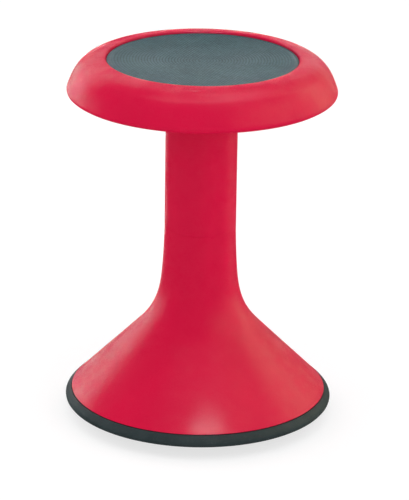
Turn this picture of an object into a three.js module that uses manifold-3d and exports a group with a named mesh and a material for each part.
// Wobble stool: an active-sitting stool with a round padded seat, a two-part moulded
// body joined half way up the stem, and a domed rubber sole that it rocks on.
// Millimetres, +Z up. The origin is the middle of the sole where it meets the floor.

import * as THREE from "three";
import { mergeVertices } from "three/addons/utils/BufferGeometryUtils.js";
import Module from "manifold-3d";

const wasm = await Module();
wasm.setup();

// ---------------------------------------------------------------- shared dimensions
const TURNED_SEGMENTS = 40; // facets round every large turned piece, all in the same phase
const GAP = 0.3; // clearance between neighbouring pieces
const OVERCUT = 1; // how far a cutter runs past the face it cuts
const RIB_T = 3; // thickness of every rib and web

// Stem joint, shared by both shells and the bolts
const STEM_R = 43.8; // slim part of the stem
const SEAM_Z = 242.5; // seam between the two shells
const SEAM_HALF_GAP = 0.25;
const SEAM_BEVEL_R = 0.5; // bevel of the outer edges at the seam
const SEAM_BEVEL_Z = 0.8; // distance of the bevel's start from the seam
const SPIGOT_Z = 176; // lower end of the upper shell's spigot
const BASE_WEB_TOP = SPIGOT_Z - GAP - 0.1; // web across the lower stem, under the spigot
const BASE_WEB_UNDER = BASE_WEB_TOP - 6;

// ---------------------------------------------------------------- solids
function toManifold(geometry) {
  geometry.deleteAttribute("normal");
  geometry.deleteAttribute("uv");
  const merged = mergeVertices(geometry, 1e-3);
  const triangles = new Uint32Array(merged.index.array);
  const make = () =>
    new wasm.Manifold(
      new wasm.Mesh({
        numProp: 3,
        vertProperties: merged.attributes.position.array,
        triVerts: triangles,
      }),
    );
  const solid = make();
  if (solid.volume() > 0) return solid;
  // A profile drawn the other way round gives an inside-out solid: flip its triangles.
  for (let i = 0; i < triangles.length; i += 3)
    [triangles[i + 1], triangles[i + 2]] = [triangles[i + 2], triangles[i + 1]];
  return make();
}

function toGeometry(solid) {
  const mesh = solid.getMesh();
  const positions = new Float32Array(mesh.vertProperties);
  const geometry = new THREE.BufferGeometry();
  geometry.setAttribute("position", new THREE.BufferAttribute(positions, 3));
  geometry.setIndex(new THREE.BufferAttribute(new Uint32Array(mesh.triVerts), 1));
  geometry.computeVertexNormals();
  return geometry;
}

const toVectors = (points) => points.map(([x, y]) => new THREE.Vector2(x, y));

// A turned solid from [r, z] points. Open profiles start and end on the axis;
// the others are closed here.
function turned(points, segments = TURNED_SEGMENTS) {
  const profile = toVectors(points);
  const onAxis = points[0][0] === 0 && points.at(-1)[0] === 0;
  if (!onAxis) profile.push(profile[0].clone());
  const geometry = new THREE.LatheGeometry(profile, segments);
  geometry.rotateX(Math.PI / 2);
  return toManifold(geometry);
}

// A straight round bar along Z.
function bar({ x, y }, bottom, top, radius, segments) {
  const geometry = new THREE.CylinderGeometry(radius, radius, top - bottom, segments, 1);
  geometry.rotateX(Math.PI / 2);
  geometry.translate(x, y, (bottom + top) / 2);
  return toManifold(geometry);
}

function tube(spot, bottom, top, radius, boreRadius, segments) {
  const bore = bar(spot, bottom - OVERCUT, top + OVERCUT, boreRadius, segments);
  return bar(spot, bottom, top, radius, segments).subtract(bore);
}

// The same bar added to, or cut from, a solid at each spot; size is as for bar().
const addBars = (solid, spots, ...size) =>
  spots.reduce((result, spot) => result.add(bar(spot, ...size)), solid);
const drill = (solid, spots, ...size) =>
  spots.reduce((result, spot) => result.subtract(bar(spot, ...size)), solid);

// A flat plate in the plane through the Z axis at the given angle, drawn as [r, z].
function radialPlate(points, angle) {
  const shape = new THREE.Shape(toVectors(points));
  const geometry = new THREE.ExtrudeGeometry(shape, { depth: RIB_T, bevelEnabled: false });
  geometry.translate(0, 0, -RIB_T / 2);
  geometry.rotateX(Math.PI / 2);
  geometry.rotateZ(angle);
  return toManifold(geometry);
}

const anglesRound = (count, start = 0) =>
  Array.from({ length: count }, (_, i) => start + (2 * Math.PI * i) / count);

const onCircle = (count, radius, start) =>
  anglesRound(count, start).map((angle) => ({
    angle,
    x: radius * Math.cos(angle),
    y: radius * Math.sin(angle),
  }));

const addRibs = (solid, points, angles) =>
  angles.reduce((result, angle) => result.add(radialPlate(points, angle)), solid);

// A screw pointing up. Its head hangs below headTop and narrows to faceRadius.
function screw(spot, headTop, tip, { headRadius, faceRadius, headHeight, shankRadius }) {
  const edge = 1.4; // straight side of the head
  const head = turned(
    [
      [0, headTop],
      [headRadius, headTop],
      [headRadius, headTop - edge],
      [faceRadius, headTop - headHeight],
      [0, headTop - headHeight],
    ],
    10,
  ).translate([spot.x, spot.y, 0]);
  return head.add(bar(spot, headTop - 1, tip, shankRadius, 10));
}

// ---------------------------------------------------------------- materials
const RED_SHELL = { color: 0xce1640, roughness: 0.32 };
const PAD_GREY = { color: 0x5e7176, roughness: 0.75 };
const RUBBER = { color: 0x33403f, roughness: 0.85 };
const PLATE_BLACK = { color: 0x1d1f20, roughness: 0.6 };
const CARRIER_GREY = { color: 0x2b2e30, roughness: 0.6 };
const STEEL = { color: 0xb9bcc0, roughness: 0.35, metalness: 1 };
const BRASS = { color: 0xc29a4a, roughness: 0.3, metalness: 1 };

const group = new THREE.Group();
function place(name, solid, material) {
  const mesh = new THREE.Mesh(toGeometry(solid), new THREE.MeshStandardMaterial(material));
  mesh.name = name;
  group.add(mesh);
}

// ---------------------------------------------------------------- sole and plate
const DOME_R = 765; // radius the stool rocks on
const LAND_R = 30; // small flat in the middle, which lets it stand upright
const DOME_STEPS = [LAND_R, 75, 115, 148]; // radii of the profile points on the dome
const FOOT_R = 165; // widest radius of the rubber rim
const SOLE_T = 4; // rubber under the plate
const PLATE_T = 4.5; // rigid plate
const RIM_STEP_Z = 24; // foot of the upright inner face of the rubber rim
const SOLE_RIM_BORE_R = 157.2;
const PLATE_RIM = { outer: 156.8, inner: 151.6, top: 31.1 };

const ROCKER_SCREW_CIRCLE = 118;
const rockerSpots = onCircle(6, ROCKER_SCREW_CIRCLE, Math.PI / 6);

// Heights at radius r; the rolling surface has its flat land at zero.
const domeDrop = (r) => Math.sqrt(DOME_R * DOME_R - r * r);
const domeZ = (r) => (r <= LAND_R ? 0 : DOME_R - domeDrop(r) - (DOME_R - domeDrop(LAND_R)));
const soleTop = (r) => domeZ(r) + SOLE_T;
const plateUnder = (r) => soleTop(r) + GAP;
const plateTop = (r) => plateUnder(r) + PLATE_T;
const alongDome = (radii, height) => radii.map((r) => [r, height(r)]);

const ROCKER_HEAD_Z = plateUnder(ROCKER_SCREW_CIRCLE) + 1.2; // seat of the screw heads
const THROUGH_Z = 40; // above the sole and plate at the rocker screws

function rubberSole() {
  const sole = turned([
    [0, 0],
    ...alongDome(DOME_STEPS, domeZ),
    [158.6, 15.8],
    [162.8, 18.0],
    [FOOT_R, 22.2],
    [163.0, 26.4],
    [159.2, 30.4],
    [SOLE_RIM_BORE_R, 30.9],
    [SOLE_RIM_BORE_R, RIM_STEP_Z],
    ...alongDome([155.4, ...DOME_STEPS.toReversed()], soleTop),
    [0, SOLE_T],
  ]);
  return drill(sole, rockerSpots, -OVERCUT, THROUGH_Z, 7, 12);
}

// A domed disc with an upstanding rim under the cone's edge, an inner ring and
// radial ribs, and a recess for each screw head.
function rockerPlate() {
  const disc = turned([
    [0, plateUnder(0)],
    ...alongDome([...DOME_STEPS, 155], plateUnder),
    [PLATE_RIM.outer, RIM_STEP_Z + GAP],
    [PLATE_RIM.outer, PLATE_RIM.top],
    [PLATE_RIM.inner, PLATE_RIM.top],
    [PLATE_RIM.inner, plateTop(150)],
    ...alongDome([115, 75, LAND_R], plateTop),
    [0, plateTop(0)],
  ]);
  const ringTop = 18;
  const ring = turned([
    [58, 7],
    [61, 7],
    [61, ringTop],
    [58, ringTop],
  ]);
  const rib = [
    [59, plateTop(59) - 2],
    [154, plateTop(154) - 2.5],
    [154, 25],
    [140, 23],
    [59, ringTop],
  ];
  let plate = addRibs(disc.add(ring), rib, anglesRound(6));
  for (const spot of rockerSpots) {
    plate = drill(plate, [spot], -OVERCUT, THROUGH_Z, 2.5, 10); // shank
    plate = drill(plate, [spot], -OVERCUT, ROCKER_HEAD_Z, 5.2, 12); // head
  }
  return plate;
}

place("rubber_sole", rubberSole(), RUBBER);
place("rocker_plate", rockerPlate(), PLATE_BLACK);

// ---------------------------------------------------------------- base shell
const SOCKET_R = 39.1; // socket for the spigot
const CONE_EDGE_Z = 31.5;
const CONE_EDGE_R = 157.9;
const STEM_BOLT_CLEARANCE_R = 4.5; // holes in the web and washers
const BOSS_Z = plateTop(ROCKER_SCREW_CIRCLE + 7) + GAP; // lower end of the screw bosses

// Inner face of the straight part of the cone, which slopes at 45 degrees.
const coneInner = (r) => 182.7 - r;
const stemSpots = onCircle(3, 20, Math.PI / 2);

// Outer line [r, z] of the foot and lower stem, from the seam down to the cone's edge.
const BASE_OUTER = [
  [STEM_R - SEAM_BEVEL_R, SEAM_Z - SEAM_HALF_GAP],
  [STEM_R, SEAM_Z - SEAM_BEVEL_Z],
  [45.0, 204.5],
  [47.2, 173.0],
  [50.2, 157.3],
  [54.5, 144.7],
  [61.0, 132.2],
  [70.3, 119.6],
  [82.0, 107.0],
  [119.9, 69.2],
  [CONE_EDGE_R, CONE_EDGE_Z + 0.9],
  [CONE_EDGE_R - 0.7, CONE_EDGE_Z],
];
// Inner line [r, z], from the cone's edge up to the web.
const BASE_INNER = [
  [151.2, CONE_EDGE_Z],
  [78.8, 103.9],
  [66.9, 116.6],
  [57.2, 129.8],
  [50.3, 143.2],
  [45.5, 157.0],
  [43.2, BASE_WEB_UNDER],
];
// Ribs [r, z] that run up the inside of the cone.
const CONE_RIB = [
  [136, coneInner(136) + 2],
  [80.5, coneInner(80.5) + 2],
  [59, 130.2],
  [47.4, 157],
  [44.6, 165],
  [42, 152],
  [52, 122],
  [86, coneInner(86) - 15],
  [130, coneInner(130) - 11],
];
// A web ties each boss to the cone on its inner side, where the wall is higher.
const BOSS_WEB_R = ROCKER_SCREW_CIRCLE - 22;
const BOSS_WEB_Z = 32;
const BOSS_WEB = [
  [BOSS_WEB_R, coneInner(BOSS_WEB_R) + 2],
  [BOSS_WEB_R, coneInner(BOSS_WEB_R) - 8],
  [ROCKER_SCREW_CIRCLE - 4, BOSS_WEB_Z],
  [ROCKER_SCREW_CIRCLE, BOSS_WEB_Z],
  [ROCKER_SCREW_CIRCLE, coneInner(ROCKER_SCREW_CIRCLE) + 2],
];

function baseShell() {
  let base = turned([
    [0, BASE_WEB_TOP],
    [SOCKET_R, BASE_WEB_TOP],
    [SOCKET_R, SEAM_Z - 1.4],
    [SOCKET_R + 0.9, SEAM_Z - SEAM_HALF_GAP],
    ...BASE_OUTER,
    ...BASE_INNER,
    [0, BASE_WEB_UNDER],
  ]);
  base = addRibs(base, CONE_RIB, anglesRound(8, Math.PI / 8));
  const bossTop = coneInner(ROCKER_SCREW_CIRCLE) - 2.5;
  for (const spot of rockerSpots) {
    base = addBars(base, [spot], BOSS_Z, bossTop, 6.5, 12);
    base = base.add(radialPlate(BOSS_WEB, spot.angle));
    base = drill(base, [spot], BOSS_Z - OVERCUT, BOSS_Z + 24, 2.6, 10);
  }
  const [holeBottom, holeTop] = [BASE_WEB_UNDER - OVERCUT, BASE_WEB_TOP + OVERCUT];
  return drill(base, stemSpots, holeBottom, holeTop, STEM_BOLT_CLEARANCE_R, 12);
}

place("base_shell", baseShell(), RED_SHELL);

// ---------------------------------------------------------------- seat shell
const HEIGHT = 457.2; // floor to the crest of the seat rim
const SEAT_R = 163.65; // widest radius of the seat
const RECESS_R = 116.4;
const RECESS_Z = 440; // floor of the recess
const FLOOR_UNDER = RECESS_Z - 4.4;
const SPIGOT_R = 38.7;
const SPIGOT_BORE_R = 34.4;
const SPIGOT_WEB_TOP = SPIGOT_Z + 5; // web that closes the spigot
const STEM_BORE_R = 39.3; // bore of the stem above the spigot
const INSERT_R = 6;
const padSpots = onCircle(4, 80, Math.PI / 8);

// Rolled rim [r, z], from the recess over the crest and down to the skirt's lower edge.
const RIM = [
  [RECESS_R, 455.2],
  [118.0, 456.9],
  [121.4, HEIGHT],
  [132.5, 455.3],
  [141.4, 451.3],
  [148.8, 445.9],
  [154.1, 439.3],
  [158.4, 431.6],
  [162.2, 422.6],
  [SEAT_R, 417.2],
  [162.2, 413.9],
  [157.4, 411.2],
];
// Inner face of the skirt and rim [r, z], from the lower edge to the recess floor.
const RIM_INNER = [
  [155.8, 411.6],
  [157.6, 418.0],
  [151.6, 432.2],
  [143.6, 442.8],
  [131.0, 449.8],
  [121.2, 451.2],
  [121.2, FLOOR_UNDER],
];
// Ribs [r, z] under the seat, from the stem to the skirt.
const SEAT_RIB = [
  [42, 404],
  [60, 414],
  [90, 422],
  [157, 426],
  [153.6, 432.8],
  [145.4, 444.0],
  [132.0, 451.4],
  [119.0, 452.6],
  [119.0, 437.6],
  [42, 437.6],
];

function seatShell() {
  let seat = turned([
    [0, SPIGOT_WEB_TOP],
    [SPIGOT_BORE_R, SPIGOT_WEB_TOP],
    [SPIGOT_BORE_R, SEAM_Z + 1],
    [STEM_BORE_R, SEAM_Z + 8],
    [STEM_BORE_R, RECESS_Z],
    [RECESS_R, RECESS_Z],
    ...RIM,
    ...RIM_INNER,
    [52.0, FLOOR_UNDER],
    [STEM_R, FLOOR_UNDER - 8],
    [STEM_R, SEAM_Z + SEAM_BEVEL_Z],
    [STEM_R - SEAM_BEVEL_R, SEAM_Z + SEAM_HALF_GAP],
    [SPIGOT_R, SEAM_Z + SEAM_HALF_GAP],
    [SPIGOT_R, SPIGOT_Z + 2],
    [SPIGOT_R - 1.8, SPIGOT_Z],
    [0, SPIGOT_Z],
  ]);
  seat = addRibs(seat, SEAT_RIB, anglesRound(8));
  seat = drill(seat, padSpots, FLOOR_UNDER - OVERCUT, RECESS_Z + OVERCUT, 2.6, 10);
  // Bosses and pockets for the brass inserts.
  seat = addBars(seat, stemSpots, SPIGOT_Z + 2, SPIGOT_Z + 14, 9.5, 14);
  return drill(seat, stemSpots, SPIGOT_Z - OVERCUT, SPIGOT_Z + 15, INSERT_R + 0.35, 12);
}

place("seat_shell", seatShell(), RED_SHELL);

// ---------------------------------------------------------------- pad and carrier
const CARRIER_R = 115.4;
const CARRIER_Z = RECESS_Z + GAP;
const CARRIER_TOP = CARRIER_Z + 3.5;
const CARRIER_BOSS_TOP = CARRIER_TOP + 4.5;
const PAD_R = 115.9;
const PAD_Z = CARRIER_TOP + GAP;
const PAD_EDGE_Z = 453.9;
const PAD_BEVEL = 0.8;
const PAD_DISH = 1.6; // how far the middle of the pad lies below its edge

function padCarrier() {
  let carrier = turned([
    [0, CARRIER_Z],
    [CARRIER_R, CARRIER_Z],
    [CARRIER_R, CARRIER_TOP],
    [0, CARRIER_TOP],
  ]);
  carrier = addBars(carrier, padSpots, CARRIER_Z + 1, CARRIER_BOSS_TOP, 4.6, 10);
  return drill(carrier, padSpots, CARRIER_Z - OVERCUT, CARRIER_TOP + 3, 2.4, 10);
}

function seatPad() {
  const pad = turned([
    [0, PAD_Z],
    [PAD_R, PAD_Z],
    [PAD_R, PAD_EDGE_Z - PAD_BEVEL],
    [PAD_R - PAD_BEVEL, PAD_EDGE_Z],
    [92, PAD_EDGE_Z - 0.4],
    [0, PAD_EDGE_Z - PAD_DISH],
  ]);
  // Pockets over the carrier's bosses.
  return drill(pad, padSpots, PAD_Z - OVERCUT, CARRIER_BOSS_TOP + GAP, 5.1, 10);
}

place("pad_carrier", padCarrier(), CARRIER_GREY);
place("seat_pad", seatPad(), PAD_GREY);

// ---------------------------------------------------------------- fasteners
// Pan-head screws up into the pad carrier.
const PAD_SCREW = { headRadius: 4, faceRadius: 2.9, headHeight: 2.8, shankRadius: 2 };
padSpots.forEach((spot, i) => {
  const solid = screw(spot, FLOOR_UNDER - GAP, CARRIER_TOP + 2.6, PAD_SCREW);
  place(`pad_screw_${i + 1}`, solid, STEEL);
});

// Washer-head screws up through sole and plate into the bosses of the cone.
const ROCKER_SCREW = { headRadius: 4.8, faceRadius: 3.6, headHeight: 3, shankRadius: 2.2 };
rockerSpots.forEach((spot, i) => {
  const solid = screw(spot, ROCKER_HEAD_Z - GAP, BOSS_Z + 21, ROCKER_SCREW);
  place(`rocker_screw_${i + 1}`, solid, STEEL);
});

// Washers, hexagon bolts and brass inserts of the stem joint.
const WASHER_TOP = BASE_WEB_UNDER - GAP;
const WASHER_UNDER = WASHER_TOP - 1.6;
const BOLT_HEAD_TOP = WASHER_UNDER - GAP;
stemSpots.forEach((spot, i) => {
  const washer = tube(spot, WASHER_UNDER, WASHER_TOP, 8.4, STEM_BOLT_CLEARANCE_R, 14);
  place(`stem_washer_${i + 1}`, washer, STEEL);

  const head = bar(spot, BOLT_HEAD_TOP - 5.5, BOLT_HEAD_TOP, 7.4, 6);
  const shank = bar(spot, BOLT_HEAD_TOP - 2, SPIGOT_Z + 11.5, 4, 12);
  place(`stem_bolt_${i + 1}`, head.add(shank), STEEL);

  const insert = tube(spot, SPIGOT_Z + 0.4, SPIGOT_Z + 13, INSERT_R, 4.4, 12);
  place(`stem_insert_${i + 1}`, insert, BRASS);
});

export default group;
